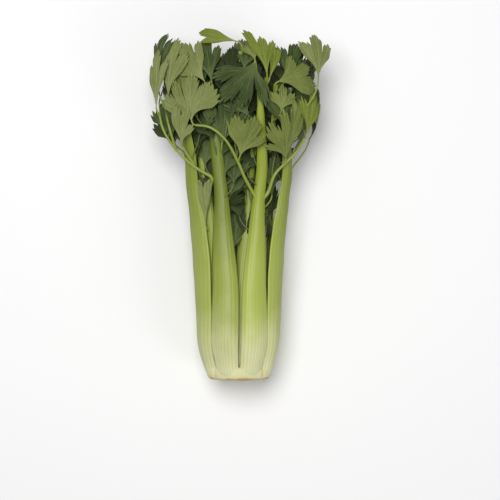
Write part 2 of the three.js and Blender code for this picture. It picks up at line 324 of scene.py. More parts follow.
def base_material():
    """Cream flesh outside. The cut face is drier: tan, ringed and dotted with darker strands."""
    s = Shader("root base cream", 0.6, 0.3)
    places = s.places()
    along = s.split(places)[1]
    groove, share, _ = s.split(s.add("ShaderNodeUVMap", {"uv_map": "Teeth"}).outputs[0])
    cloud = s.noise(places, 70.0, 5.0)
    fine = s.noise(places, 500.0, 4.0)
    strands = s.add("ShaderNodeTexVoronoi", None, Vector=places, Scale=330.0).outputs[0]
    side = s.mix(cloud, rgb(222, 216, 176), rgb(206, 206, 148))
    face = s.mix(s.ramp(cloud, 0.35, 0.65), rgb(214, 196, 150), rgb(190, 164, 116))
    face = s.mix(s.ramp(strands, 0.12, 0.3, 0.45, 0.0), face, rgb(150, 116, 70))
    patchy = s.ramp(s.noise(places, 110.0, 3.0), 0.36, 0.62, 0.15, 0.7)
    face = s.mix(s.maths("MULTIPLY", groove, patchy), face, rgb(132, 100, 58))
    face = s.mix(s.ramp(share, 0.5, 0.0, 0.0, 0.35), face, rgb(164, 128, 82))
    rim = s.maths("MULTIPLY", s.ramp(share, 0.74, 0.84), s.ramp(fine, 0.3, 0.65))
    face = s.mix(s.maths("MULTIPLY", rim, 0.55), face, rgb(140, 106, 64))
    from_cut = s.maths("ADD", s.maths("SUBTRACT", along, ROOT_END), s.maths("MULTIPLY", cloud, -0.004))
    colour = s.mix(s.ramp(from_cut, -0.0006, 0.0022, 1.0, 0.0), side, face)
    s.feed(s.surface.inputs["Base Color"], colour)
    s.bump(s.maths("ADD", cloud, s.maths("MULTIPLY", fine, 0.7)), 0.45, 0.0008)
    return s.material


def leaf_material(name, blade, vein, patch):
    """Matte leaf green with slightly paler veins that run to the lobes' tips and teeth."""
    s = Shader(name, 0.62, 0.2)
    places = s.places()
    to_rib, out, _ = s.split(s.pattern())
    to_vein, tooth, _ = s.split(s.add("ShaderNodeUVMap", {"uv_map": "Teeth"}).outputs[0])
    rib = s.ramp(to_rib, 0.02, 0.07, 1.0, 0.0)
    twig = s.maths("MULTIPLY", s.ramp(to_vein, 0.01, 0.06, 1.0, 0.0), s.ramp(out, 0.6, 1.6))
    cells = s.add("ShaderNodeTexVoronoi", {"feature": "DISTANCE_TO_EDGE"}, Vector=places, Scale=420.0)
    net = s.ramp(cells.outputs[0], 0.02, 0.14, 1.0, 0.0)
    cloud = s.noise(places, 45.0, 4.0)
    fine = s.noise(places, 300.0, 3.0)
    colour = s.mix(s.ramp(cloud, 0.38, 0.62), blade, patch)
    colour = s.mix(s.ramp(out, 0.3, 2.4, 0.22, 0.0), colour, vein)
    colour = s.mix(s.maths("MULTIPLY", s.ramp(fine, 0.35, 0.7), 0.14), colour, (0.03, 0.05, 0.01, 1))
    colour = s.mix(s.maths("MULTIPLY", net, 0.12), colour, vein)
    colour = s.mix(s.maths("MULTIPLY", twig, 0.3), colour, vein)
    colour = s.mix(s.maths("MULTIPLY", rib, 0.4), colour, vein)
    s.feed(s.surface.inputs["Base Color"], colour)
    relief = s.maths("ADD", s.maths("MULTIPLY", twig, -0.7), s.maths("MULTIPLY", net, -0.3))
    s.bump(s.maths("ADD", relief, s.maths("MULTIPLY", fine, 0.5)), 0.4, 0.0006)
    return s.material


ROOT_CREAM = rgb(220, 220, 172)
# Each stalk material: its name, its colours at the root, above it and further up, and how far
# from the cut the second colour is reached and the third one begins, in metres. A stalk with
# an entry of its own name wears that.
STALK_TONES = {
    "stalk": ("stalk green", ROOT_CREAM, rgb(160, 172, 78), rgb(128, 142, 44), 0.085, 0.08),
    # stalk_outer_3 wears a darker copy of the stalk green and stalk_outer_4 a lighter one: partly each
    # stalk's own tone, partly painted shade on the first and painted light on the second.
    "stalk_outer_3": ("stalk deep green painted shade", ROOT_CREAM, rgb(148, 160, 66), rgb(102, 117, 20), 0.085, 0.08),
    "stalk_outer_4": ("stalk bright green painted light", ROOT_CREAM, rgb(166, 179, 76), rgb(140, 153, 36), 0.085, 0.08),
    "heart": ("heart stalk", rgb(226, 226, 182), rgb(186, 194, 104), rgb(142, 154, 60), 0.12, 0.16),
    "branch": ("branch green", rgb(150, 162, 70), rgb(142, 156, 60), rgb(132, 146, 54), 0.1, 0.1),
    # The inner stems wear a darker copy of the branch green: painted shade for the stems deep in the head.
    "inner_stem": ("inner stem painted shade", rgb(92, 106, 48), rgb(88, 102, 46), rgb(84, 98, 42), 0.1, 0.1),
}
# Each leaf material: its blade, its veins and the deeper patches in the blade.
LEAF_TONES = {
    "leaf_pale": (rgb(127, 135, 81), rgb(154, 160, 106), rgb(115, 125, 67)),
    "leaf_bright": (rgb(114, 126, 48), rgb(146, 156, 76), rgb(104, 118, 38)),
    "leaf_olive": (rgb(114, 124, 62), rgb(143, 151, 89), rgb(99, 111, 48)),
    # leaf_inner is a darker copy of the leaf green, painted shade for leaves deep in the head; leaf_dark is
    # partly a leaf's own deep green and partly painted shade.
    "leaf_dark": (rgb(70, 85, 42), rgb(113, 127, 77), rgb(50, 65, 28)),
    "leaf_inner": (rgb(50, 60, 30), rgb(74, 84, 48), rgb(42, 52, 22)),
}
UNDERSIDE = rgb(150, 160, 120)  # what the back of a leaf is paler with
UNDERSIDE_SHARE = 0.28


def make_materials():
    made = {slot: stalk_material(*tones) for slot, tones in STALK_TONES.items()}
    made["base"] = base_material()
    for slot, tones in LEAF_TONES.items():
        name = slot.replace("_", " ")
        made[slot] = leaf_material(name, *tones)
        paler = [tuple((1 - UNDERSIDE_SHARE) * c + UNDERSIDE_SHARE * g for c, g in zip(tone, UNDERSIDE))
                 for tone in tones]
        made[slot + "_under"] = leaf_material(name + " underside", *paler)
    return made


# ---------------------------------------------------------------- reading the frame


def node_points(node):
    mesh = NODES[node].data
    points = np.empty(len(mesh.vertices) * 3)
    mesh.vertices.foreach_get("co", points)
    return np.unique(points.reshape(-1, 3).round(6), axis=0)


def node_centroid(node):
    mesh = NODES[node].data
    centres = np.empty(len(mesh.polygons) * 3)
    areas = np.empty(len(mesh.polygons))
    mesh.polygons.foreach_get("center", centres)
    mesh.polygons.foreach_get("area", areas)
    return (centres.reshape(-1, 3) * areas[:, None]).sum(axis=0) / areas.sum()


def stalk_sections(node):
    """Rows of station, middle x and z, angle of the back, width, wall and crown."""
    points = node_points(node)
    rows = []
    out = None
    for station in np.unique(points[:, 1].round(5)):
        ring = points[np.abs(points[:, 1] - station) < 0.02 * MM][:, [0, 2]]
        gaps = np.linalg.norm(ring[:, None] - ring[None], axis=2)
        one, two = np.unravel_index(gaps.argmax(), gaps.shape)
        width = gaps[one, two]
        side = (ring[two] - ring[one]) / width
        edge = (ring[one] + ring[two]) / 2
        up = np.array([side[1], -side[0]])
        central = ring[np.abs((ring - edge) @ side) < width / 10]
        heights = (central - edge) @ up
        crown = (heights.max() + heights.min()) / 2
        if (crown < 0) if out is None else (up @ out < 0):
            up, crown = -up, -crown
        out = up
        middle = edge + up * crown
        angle = math.atan2(up[1], up[0])
        rows.append([station, *middle, angle, width, heights.max() - heights.min(), crown])
    rows = np.array(rows)
    rows[:, 3] = np.unwrap(rows[:, 3])
    return rows


RING_REACH = 2.9 * MM  # points of a branch that are nearer than this are on one ring


def branch_route(node):
    """The middles of a branch's rings, from the stalk out."""
    points = node_points(node)
    centres = []
    while len(points):
        near = np.linalg.norm(points - points[0], axis=1) < RING_REACH
        centres.append(points[near].mean(axis=0))
        points = points[~near]
    centres = np.array(centres)
    return centres[centres[:, 1].argsort()]


def carriers():
    """The middle line of every stalk and branch, by node."""
    lines = {}
    for node in NODES:
        if node.startswith("stalk"):
            sections = stalk_sections(node)
            lines[node] = sections[:, [1, 0, 2]]
        elif node.startswith("branch"):
            lines[node] = branch_route(node)
    for node, line in lines.items():
        places = np.linspace(0, 1, len(line))
        lines[node] = through(places, line, np.linspace(0, 1, 200))
    return lines


def own_lines(node, lines):
    """The stalk that a leaf or branch belongs to, and that stalk's branches."""
    words = node.split("_")
    key = "_".join(words[1:3]) if words[1] in ("middle", "heart") else words[1]
    starts = ("stalk_" + key, "stalk_outer_" + key, "branch_" + key)
    return [n for n in lines if n.startswith(starts) and n != node]


SUNK_START = 1.4 * MM  # how far inside a stalk's middle line its leaves and branches start


def carrier_of(node, base, lines, behind, slant):
    """The nearest of a leaf's or branch's own stalk and branches, and the point and direction it
    leaves that at: further behind its base the further aside that is."""
    away = {n: np.linalg.norm(lines[n] - base, axis=1) for n in own_lines(node, lines)}
    nearest = min((n for n in away if away[n].argmin() > 0), key=lambda n: away[n].min())
    line = lines[nearest]
    at = away[nearest].argmin()
    if nearest.startswith("branch") and at > len(line) - 4:
        return nearest, line[-3], unit(line[-1] - line[-5])
    step = np.linalg.norm(line[1] - line[0])
    distance = np.linalg.norm(line[at] - base)
    at = max(at - max(int((behind + slant * distance) / step), 1), 0)
    ahead = min(at + 3, len(line) - 1)
    inward = unit((HEAD_CENTRE - line[at]) * [1, 0, 1]) * nearest.startswith("stalk")
    return nearest, line[at] + SUNK_START * inward, unit(line[ahead] - line[at])


def leaf_frame(node, lines):
    """Where a leaf's base is, which way it points and faces, its size and how it bends. The base
    is the narrow end, close to the leaf's own stalk or branch."""
    points = node_points(node)
    centroid = node_centroid(node)
    away = np.linalg.norm(points - centroid, axis=1)
    spacing = np.sort(np.linalg.norm(points[:, None] - points[None], axis=2), axis=1)[:, 1:12].mean(axis=1)
    carrier = np.vstack([lines[n] for n in own_lines(node, lines)])
    spacing += 0.25 * np.linalg.norm(points[:, None] - carrier[None], axis=2).min(axis=1)
    spacing[away < 0.75 * away.max()] = 1
    dense = points[spacing.argmin()]
    nearest = np.linalg.norm(points - dense, axis=1).argsort()[:12]
    base = points[nearest].mean(axis=0)
    _, _, axes = np.linalg.svd(points - centroid, full_matrices=False)
    out = axes[2]
    outward = (centroid - HEAD_CENTRE) * [1, 0, 1]
    if out @ outward < 0:
        out = -out
    forward = centroid - base
    forward = unit(forward - out * (forward @ out))
    side = np.cross(forward, out)
    local = np.stack([(points - base) @ side, (points - base) @ forward], axis=1)
    height = (points - base) @ out
    bend, *_ = np.linalg.lstsq(bend_terms(local / LEAF_UNIT), height, rcond=None)
    low, high = local.min(axis=0), local.max(axis=0)
    return {"base": base, "side": side, "forward": forward, "out": out, "bend": bend,
            "size": (high[0] - low[0], high[1]),
            "range": ((1.1 * low[0], 1.1 * high[0]), (0, 1.05 * high[1]))}


LEAF_UNIT = 0.05  # a leaf's bend is worked out in this length, near its real size


def bend_terms(local):
    u, v = local[:, 0], local[:, 1]
    return np.stack([np.ones(len(u)), u, v, u * u, u * v, v * v, u**3, u * u * v, u * v * v, v**3], axis=1)


# ---------------------------------------------------------------- stalks


TIP_WIDTH = {"stalk": 4.8 * MM, "heart": 2.6 * MM}  # where its branches or its leaf take over
TIP_RUN = 18 * MM  # over which a stalk narrows to its tip
FULL_WIDTH = 28 * MM
INTO_ROOT = 9.5 * MM  # how far a stalk of full width runs on below its CAD solid, inside the root
BEHIND_CUT = 2.9 * MM  # how far a stalk's end stays behind the root's cut face
RIB_HEIGHT = 0.42 * MM


def stalk_piece(node, materials, slot, ribs):
    sections = stalk_sections(node)
    root = sum((np.array(corner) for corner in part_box("base")), np.zeros(3)) / 2
    scale = sections[1, 4] / FULL_WIDTH
    waves = new_waves()
    sway = new_waves(3)
    rows, columns = 78, 60
    start = max(sections[0, 0] - INTO_ROOT * scale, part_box("base")[0].y + BEHIND_CUT)
    end = sections[-1, 0] + 1.5 * MM
    tip_width = TIP_WIDTH[slot]
    stations = np.concatenate([[start], np.linspace(start, end, rows - 1), [end]])

    def place(row_share, column_share):
        row = np.rint(row_share * rows).astype(int)
        station = stations[row]
        value = through(sections[:, 0], sections[:, 1:], station)
        x, z, angle, width, wall, crown = value.T
        body = ease((end - station) / TIP_RUN)
        width = tip_width + (width - tip_width) * body
        wall = tip_width + (wall - tip_width) * body
        crown = crown * body
        before = np.clip(sections[0, 0] - station, 0, None) / scale
        shrink = 1 - 0.008 * before / MM - 0.0012 * (before / MM) ** 2
        x, z = root[0] + (x - root[0]) * shrink, root[2] + (z - root[2]) * shrink
        turn = 2 * math.pi * column_share
        cosine, sine = np.cos(turn), np.sin(turn)
        across = np.sign(cosine) * np.abs(cosine) ** 0.92 / 2
        on_back = np.clip(sine, 0, 1)
        share = (station - start) / (end - start)
        strength = ease(share / 0.06) * (1 - 0.35 * share)
        rib = np.cos(2 * math.pi * ribs * (across + 0.5))
        slim = np.clip(width / (16 * MM), 0.35, 1)
        relief = RIB_HEIGHT * scale**0.5 * rib * on_back**0.6 * strength * slim
        rise = (wall / 2) * sine + relief - crown * cosine * cosine
        at_end = (row == 0) | (row == rows)
        rise = np.where(at_end, -crown * 0.3, rise)
        across = np.where(at_end, 0, across)
        out = np.stack([np.cos(angle), np.zeros_like(angle), np.sin(angle)], axis=1)
        side = np.stack([np.sin(angle), np.zeros_like(angle), -np.cos(angle)], axis=1)
        points = np.stack([x, station, z], axis=1) + out * rise[:, None] + side * (width * across)[:, None]
        points += out * (0.5 * MM * wobble(points, 0.035, waves))[:, None]
        points += side * (0.9 * MM * wobble(points * [0, 1, 0], 0.09, sway))[:, None]
        return points, np.stack([ribs * (across + 0.5), (station - start) / (10 * MM)], axis=1)

    piece = surface(node + "_flesh", rows, columns, place, closed=True)
    coat(piece, materials.get(node, materials[slot]))
    settle(piece, node)


# ---------------------------------------------------------------- base


FACE_SHARE = 0.84  # the cut face's radius, as a share of the root's widest radius
# From the face's rim round to the inside: radius share and millimetres past the cut.
ROOT_SIDE = np.array([[0.84, 0.0], [0.87, 0.5], [0.9, 2.0], [0.925, 4.5], [0.93, 7.5], [0.92, 10.5],
                      [0.86, 12.6], [0.7, 13.5], [0.4, 18.0], [0.0, 21.0]])


def to_nearest(angle, angles, half):
    """How far round the ring an angle is from the nearest stalk, 1 halfway to the next one."""
    return np.min([np.abs(np.angle(np.exp(1j * (angle - a)))) for a in angles], axis=0) / half


def crease(distance, width):
    return np.exp(-((distance / width) ** 2))


def base_piece(node, materials):
    """The trimmed root: a cut face with the arcs of the stalks in it, and a low lobed side.
    stalk_outer_2 starts on the inner ring, so it has no lobe on the side."""
    low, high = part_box(node)
    centre = (low + high) / 2
    half = ((high.x - low.x) / 2, (high.z - low.z) / 2)
    waves, scars = new_waves(6), new_waves(6)
    rows, columns, face_rows = 130, 250, 92
    outer = [n for n in sorted(NODES) if n.startswith("stalk_outer") and n != "stalk_outer_2"]
    inner = [n for n in sorted(NODES) if n.startswith("stalk_middle")]
    outer_angles = [stalk_sections(n)[0, 3] for n in outer]
    inner_angles = [stalk_sections(n)[0, 3] for n in inner]

    def place(row_share, column_share):
        row = np.rint(row_share * rows)
        past_face = np.clip((row - face_rows) / (rows - face_rows), 0, 1)
        side = through(np.linspace(0, 1, len(ROOT_SIDE)), ROOT_SIDE, past_face)
        share = np.where(row < face_rows, FACE_SHARE * row / face_rows, side[:, 0])
        angle = 2 * math.pi * column_share
        apart = to_nearest(angle, outer_angles, math.pi / len(outer))
        slanted = to_nearest(angle + 0.9 * (share - FACE_SHARE), outer_angles, math.pi / len(outer))
        apart_inner = to_nearest(angle, inner_angles, math.pi / len(inner))
        uneven = 0.012 * np.sin(5 * angle + 1) + 0.008 * np.sin(11 * angle) + 0.006 * np.sin(23 * angle)
        ring = 0.62 + 0.03 * (1 - np.clip(apart, 0, 1) ** 2) + uneven
        inner_ring = 0.4 + 0.035 * (1 - np.clip(apart_inner, 0, 1) ** 2) - uneven
        between = crease(np.clip(1 - slanted, 0, None), 0.07) * ease((share - ring) / 0.06)
        groove = np.maximum(crease(share - ring, 0.02), between)
        groove = np.maximum(groove, 0.7 * crease(share - inner_ring, 0.018))
        groove = np.maximum(groove, 0.5 * crease(share - 0.17 + uneven, 0.016))
        on_face = row < face_rows
        lobe = 1 - 0.04 * crease(1 - apart, 0.16) * ease((share - 0.6) / 0.24)
        x = centre.x + half[0] * share * lobe * np.cos(angle)
        z = centre.z + half[1] * share * lobe * np.sin(angle)
        points = np.stack([x, low.y + side[:, 1] * MM, z], axis=1)
        swell = 0.9 * (1 - ease(share / FACE_SHARE)) * on_face
        relief = 0.5 * groove * on_face + 1.1 - swell + 0.35 * wobble(points, 0.009, waves)
        points[:, 1] += MM * (relief + 0.8 * wobble(points, 0.03, scars) * ease(share / 0.3))
        points[:, 1] = np.maximum(points[:, 1], low.y)
        return points, np.stack([column_share, row_share, groove * on_face, share], axis=1)

    piece = surface(node + "_root", rows, columns, place, closed=True)
    coat(piece, materials["base"])
    settle(piece, node)


# ---------------------------------------------------------------- branches


def branch_piece(node, materials, lines):
    """A branch that grows out of its stalk, or out of a larger branch of the same stalk."""
    route = branch_route(node)
    places = np.linspace(0, 1, len(route))
    free = through(places, route, np.linspace(0, 1, 34))
    carrier, joint, joint_direction = carrier_of(node, route[0], lines, 9 * MM, 1.3)
    span = np.linalg.norm(free[0] - joint)
    leaving = unit(free[1] - free[0])
    joining = [joint, joint + joint_direction * span * 0.45, free[0] - leaving * span * 0.35, free[0]]
    path = np.vstack([bezier(np.array(joining), 12)[:-1], free])
    share = np.linspace(0, 1, len(path))
    if carrier.startswith("stalk"):
        radii = (1.2 + 0.45 * (1 - share) + 1.1 * (1 - share) ** 6) * MM
    else:
        radii = (1.1 + 0.2 * (1 - share)) * MM
    radii *= 0.35 + 0.65 * ease(share / 0.14)
    if node == "branch_2_left":  # the one branch with no leaf on its very end
        radii *= 1 - 0.75 * ease((share - 0.84) / 0.16)
    piece = tube(node + "_stem", path, radii, sides=12)
    coat(piece, materials["branch"])
    settle(piece, node)


# ---------------------------------------------------------------- leaves

# Lobes of a leaf, left to right seen from outside: start, tip and end in degrees from the way
# the leaf points, and reach as a share of its length. Slits: how far out each cut between two
# lobes stops. Fold: how steeply a lobe rises beside its rib. Drop: how much less far a lobe's
# ends reach than its tip. Tooth gap, tooth and pleat: how wide and deep the teeth are, and how
# deep the pleats between them, in millimetres. Cell: the longest step along the toothed edge.
STYLES = {
    "leaf_4_left_tip": {"lobes": [(-62, -42, -30, 0.92), (-30, -19, -9, 1.0), (-9, 8, 21, 1.02),
                                  (21, 34, 70, 0.92)],
                        "slits": [0.58, 0.36, 0.62], "fold": 0.05, "tooth_gap": 4.4, "tooth": 5.0,
                        "drop": 0.2},
    "leaf_4_left_side": {"lobes": [(-35, -16, -1, 0.97), (-1, 11, 30, 1.0), (30, 40, 54, 0.76)],
                         "slits": [0.78, 0.6], "fold": 0.1, "tooth_gap": 4.8, "tooth": 3.8},
    "leaf_4_right_side": {"lobes": [(-64, -50, -38, 0.53), (-38, -22, -8, 0.76), (-8, 0, 8, 0.9),
                                    (8, 14, 31, 1.03)],
                          "slits": [0.4, 0.52, 0.64], "fold": 0.08, "tooth_gap": 5.2, "tooth": 4.8,
                          "drop": 0.2},
    "leaf_4_right_tip": {"lobes": [(-32, -20, -9, 0.88), (-9, 1, 9, 1.0), (9, 18, 30, 0.86)],
                         "slits": [0.68, 0.62], "fold": 0.08, "tooth_gap": 4.6, "tooth": 4.4},
    "leaf_4_top": {"lobes": [(-38, -23, -12, 0.88), (-7, 6, 17, 0.92), (17, 30, 43, 1.04),
                             (43, 57, 72, 0.9)],
                   "slits": [0.26, 0.62, 0.46], "fold": 0.12, "tooth_gap": 5.4, "tooth": 6.2, "pleat": 0.9,
                   "drop": 0.24},
    "leaf_middle_2_tip": {"lobes": [(-54, -41, -22, 0.62), (-22, -9, 4, 0.78), (4, 18, 38, 0.86)],
                          "slits": [0.52, 0.6], "fold": 0.06, "tooth_gap": 4.8, "tooth": 3.0},
    "leaf_middle_2_side": {"lobes": [(-52, -36, -14, 0.8), (-14, 0, 14, 0.96), (14, 32, 50, 0.84)],
                           "slits": [0.6, 0.56], "fold": 0.1, "tooth_gap": 4.6, "tooth": 3.2},
    "leaf_middle_1_tip": {"lobes": [(-22, -14, -8, 1.0), (-8, 0, 10, 0.76), (10, 18, 28, 0.68)],
                          "slits": [0.62, 0.56], "fold": 0.1, "tooth_gap": 4.6, "tooth": 3.8},
    "leaf_middle_1_right": {"lobes": [(-13, 2, 12, 0.9)], "slits": [], "fold": 0.5, "tooth": 1.4},
    "leaf_2_left_up": {"lobes": [(-26, -14, -7, 0.87), (-7, 3, 12, 1.0), (12, 20, 34, 0.8)],
                       "slits": [0.7, 0.56], "fold": 0.07, "tooth_gap": 4.6, "tooth": 3.8},
    "leaf_3_left": {"lobes": [(-42, -28, -12, 0.9), (-12, 0, 11, 1.12), (11, 20, 29, 0.98)],
                    "slits": [0.5, 0.6], "fold": 0.08, "tooth_gap": 4.0},
    "leaf_1_side": {"lobes": [(-22, -10, 3, 0.98), (3, 13, 22, 0.92), (22, 34, 48, 0.64)],
                    "slits": [0.72, 0.4], "fold": 0.1, "tooth_gap": 3.6, "tooth": 2.2},
    "leaf_2_low": {"lobes": [(-14, -6, 0, 1.0), (0, 7, 14, 1.0)], "slits": [0.78], "fold": 0.3, "tooth": 2.0},
    "leaf_heart_1_tip": {"lobes": [(-22, -10, -3, 0.9), (-3, 6, 20, 1.02)], "slits": [0.8], "fold": 0.25,
                         "tooth_gap": 4.5, "tooth": 2.4},
    "leaf_heart_1_right": {"lobes": [(-38, -24, -10, 0.6), (-10, 3, 15, 0.66), (15, 28, 42, 0.6)],
                           "slits": [0.42, 0.4], "fold": 0.1},
}
# What a style has when it doesn't say otherwise.
PLAIN_STYLE = {"drop": 0.14, "tooth_gap": 4.6, "tooth": 3.4, "pleat": 0.6, "cell": 1.3 * MM}
SMALL_STYLE = {"tooth_gap": 5.5, "cell": 2.4 * MM}  # what differs on the small leaves inside


def own_style(size, draws):
    """Three unequal lobes that fill the leaf's plate."""
    width, length = size
    wide = min(math.degrees(math.atan2(width / 2, 0.66 * length)), 44)
    tips = np.array([-wide, 0, wide]) * draws.uniform(0.85, 1.05, 3) + draws.uniform(-3, 3, 3)
    cuts = [(tips[0] + tips[1]) / 2, (tips[1] + tips[2]) / 2]
    ends = [tips[0] - wide * 0.45, tips[2] + wide * 0.45]
    reach = [draws.uniform(0.78, 0.9), draws.uniform(0.97, 1.05), draws.uniform(0.78, 0.9)]
    return {
        "lobes": [(ends[0], tips[0], cuts[0], reach[0]), (cuts[0], tips[1], cuts[1], reach[1]),
                  (cuts[1], tips[2], ends[1], reach[2])],
        "slits": list(draws.uniform(0.46, 0.68, 2)),
        "fold": draws.uniform(0.05, 0.16),
    }


def on_circle(angle, radius):
    return radius * np.array([math.sin(angle), math.cos(angle)])


def edge_corners(style, length, draws):
    """The corners of a blade's edge, left to right: angle, reach, the angles of its lobe's tip,
    start and end, and 0 on a tooth's tip or 1 between teeth."""
    corners = []
    gap, depth = style["tooth_gap"] * MM, style["tooth"] * MM
    lobes = style["lobes"]
    for number, (start, tip, end, share) in enumerate(lobes):
        start, tip, end = math.radians(start), math.radians(tip), math.radians(end)
        lobe = (tip, start, end)
        reach = share * length
        count = max(int(round((end - start) * reach / gap)) // 2 * 2 + 1, 3)
        half = count // 2

        def at(place):
            angle = start + (tip - start) * 2 * place if place < 0.5 else tip + (end - tip) * (2 * place - 1)
            return angle, reach * (1 - style["drop"] * abs(2 * place - 1) ** 1.8)

        if number:
            corners.append((start, style["slits"][number - 1] * length, lobe, 1))
            angle, edge = at(0.25 / count)
            corners.append((angle, edge - depth * 0.8, lobe, 1))
        else:
            angle, edge = at(0)
            corners.append((angle, edge * 0.72, lobe, 1))
        for tooth in range(count):
            lean = 0.26 * np.sign(half - tooth) + draws.uniform(-0.08, 0.08)
            angle, edge = at((tooth + 0.5 + lean) / count)
            size = draws.uniform(-0.5, 0.6) * (tooth != half)
            corners.append((angle, edge + depth * (0.25 * (tooth == half) - 0.3 * abs(size)), lobe, 0))
            if tooth < count - 1:
                angle, edge = at((tooth + 1 + draws.uniform(-0.07, 0.07)) / count)
                cut = depth * draws.uniform(0.7, 1.15) * (1.7 if draws.random() < 0.25 else 1)
                corners.append((angle, edge - cut, lobe, 1))
        if number < len(lobes) - 1:
            angle, edge = at(1 - 0.25 / count)
            corners.append((angle, edge - depth * 0.8, lobe, 1))
        else:
            angle, edge = at(1)
            corners.append((angle, edge * 0.72, lobe, 1))
    return corners


def leaf_edge(style, length, draws):
    """Columns of a blade, left to right: angle, reach, the angles of its lobe's rib and left and
    right end, and of its tooth's vein, with 0 on a tooth's tip and 1 between teeth."""
    corners = edge_corners(style, length, draws)
    tips = [i for i, corner in enumerate(corners) if corner[3] == 0]
    columns = []
    for i in range(len(corners) - 1):
        angle, reach, lobe, phase = corners[i]
        next_angle, next_reach, _, next_phase = corners[i + 1]
        vein = corners[min(tips, key=lambda t: abs(t - i - 0.5))][0]
        one, two = on_circle(angle, reach), on_circle(next_angle, next_reach)
        gap = np.linalg.norm(two - one)
        steps = max(int(np.ceil(gap / style["cell"])), 2)
        swell = 0.05 if phase + next_phase == 1 else 0.02
        for step in range(steps):
            t = step / steps
            point = one + (two - one) * t
            point = point * (1 + swell * math.sin(math.pi * t) * gap / np.linalg.norm(point))
            columns.append((math.atan2(point[0], point[1]), np.linalg.norm(point), *lobe, vein,
                            phase + (next_phase - phase) * t))
    angle, reach, lobe, phase = corners[-1]
    columns.append((angle, reach, *lobe, corners[tips[-1]][0], phase))
    return np.array(columns)


def bent_angle(angle, lobe, left, right, q):
    """Where a line to the edge at this angle stands on its way out: it leaves the lobe's rib
    late if it ends near the lobe's tip, and early if it ends near the lobe's side."""
    half = np.where(angle < lobe, lobe - left, right - lobe)
    share = np.clip(np.abs(angle - lobe) / half, 0, 1)
    leaves_at = 0.6 * (1 - share)
    freed = ease((q - leaves_at) / (1.02 - leaves_at))
    kept = share**1.5 + (1 - share**1.5) * freed
    return lobe + (angle - lobe) * kept


def leaf_blade(name, shape, style, draws, rows):
    """A blade as a fan from its base, bent with its leaf, folded at its lobes' ribs and pleated
    between its teeth."""
    length = shape["size"][1]
    columns = leaf_edge(style, length, draws)
    phase = draws.uniform(0, 2 * math.pi, 4)
    waves = list(zip(unit(draws.normal(size=(5, 3))), draws.uniform(0, 6.3, 5)))
    last = len(columns) - 1
    widest = math.radians(max(lobe[2] - lobe[0] for lobe in style["lobes"])) / 2

    def place(row_share, column_share):
        column = np.rint(column_share * last).astype(int)
        edge_angle, reach, lobe, left, right, vein, tooth = columns[column].T
        r = (0.03 + 0.97 * row_share) * reach
        q = r / length
        angle = bent_angle(edge_angle, lobe, left, right, row_share)
        vein = bent_angle(vein, lobe, left, right, row_share)
        spread = 0.45 + 0.55 * ease(q * 1.7)
        u, v = r * np.sin(angle * spread), r * np.cos(angle * spread)
        to_rib, to_vein = np.abs(angle - lobe) * spread * r, np.abs(angle - vein) * spread * r
        local = np.stack([np.clip(u, *shape["range"][0]), np.clip(v, *shape["range"][1])], axis=1)
        height = bend_terms(local / LEAF_UNIT) @ shape["bend"]
        height += style["fold"] * (to_rib - 0.5 * widest * r)
        height -= style["pleat"] * MM * np.cos(math.pi * tooth) * q**1.7
        ripple = np.sin(angle * 9 + phase[0]) + 0.6 * np.sin(angle * 17 + phase[1])
        height += MM * ripple * q**3
        points = shape["base"] + shape["side"] * u[:, None] + shape["forward"] * v[:, None]
        points = points + shape["out"] * height[:, None]
        points += shape["out"] * (0.9 * MM * wobble(points, 0.024, waves) * ease(q * 2))[:, None]
        points[:, 2] = np.maximum(points[:, 2], FLOOR_HEIGHT + 0.2 * MM)
        return points, np.stack([to_rib, r, to_vein, tooth], axis=1) / (10 * MM)

    return surface(name, rows, last, place, closed=False)


def thicken(piece, thickness):
    modifier = piece.modifiers.new("blade thickness", "SOLIDIFY")
    modifier.thickness = thickness
    modifier.offset = -1
    modifier.material_offset = 1
    modifier.material_offset_rim = 0
    deselect()
    piece.select_set(True)
    bpy.context.view_layer.objects.active = piece
    bpy.ops.object.modifier_apply(modifier=modifier.name)


STEM_POINTS = 16
BLADE = {"rows": 14, "thickness": 0.4 * MM}
SMALL_BLADE = {"rows": 6, "thickness": 0.35 * MM}


def leaf_stem(name, start, start_direction, base, forward, radius=1.15 * MM, sides=8):
    """A thin stem from its stalk or branch to a blade, which it runs a little way into."""
    span = np.linalg.norm(base - start)
    points = [start, start + start_direction * span * 0.4,
              base - forward * span * 0.35, base + forward * 2.5 * MM]
    path = bezier(np.array(points), STEM_POINTS)
    share = np.linspace(0, 1, STEM_POINTS)
    return tube(name, path, radius * (1 - 0.43 * share), sides)


def join(piece, other):
    deselect()
    piece.select_set(True)
    other.select_set(True)
    bpy.context.view_layer.objects.active = piece
    bpy.ops.object.join()
    return piece


def leaf_piece(node, number, materials, lines):
    shape = leaf_frame(node, lines)
    slot = SLOT_OF[node]
    draws = np.random.default_rng(100 + number)
    style = PLAIN_STYLE | (STYLES.get(node) or own_style(shape["size"], draws))
    blade = leaf_blade(node + "_blade", shape, style, draws, BLADE["rows"])
    coat(blade, materials[slot], materials[slot + "_under"])
    thicken(blade, BLADE["thickness"])
    _, start, direction = carrier_of(node, shape["base"], lines, 2 * MM, 1.2)
    stem = leaf_stem(node + "_stem", start, direction, shape["base"], shape["forward"])
    coat(stem, materials["branch"])
    settle(join(blade, stem), node)


# ---------------------------------------------------------------- inner leaves


def leaf_mass():
    """The middle and the half sizes of the leafy part at any station, from its CAD leaves."""
    points = np.vstack([node_points(n) for n in NODES if n.startswith("leaf") and not n.endswith("_low")])
    stations = np.linspace(points[:, 1].min() + 8 * MM, points[:, 1].max() - 4 * MM, 16)
    rows = []
    for station in stations:
        near = points[np.abs(points[:, 1] - station) < 9 * MM][:, [0, 2]]
        low, high = near.min(axis=0), near.max(axis=0)
        rows.append([*(low + high) / 2, *(high - low) / 2])
    rows = np.array(rows)
    rows[1:-1] = (rows[:-2] + 2 * rows[1:-1] + rows[2:]) / 4
    return stations, rows


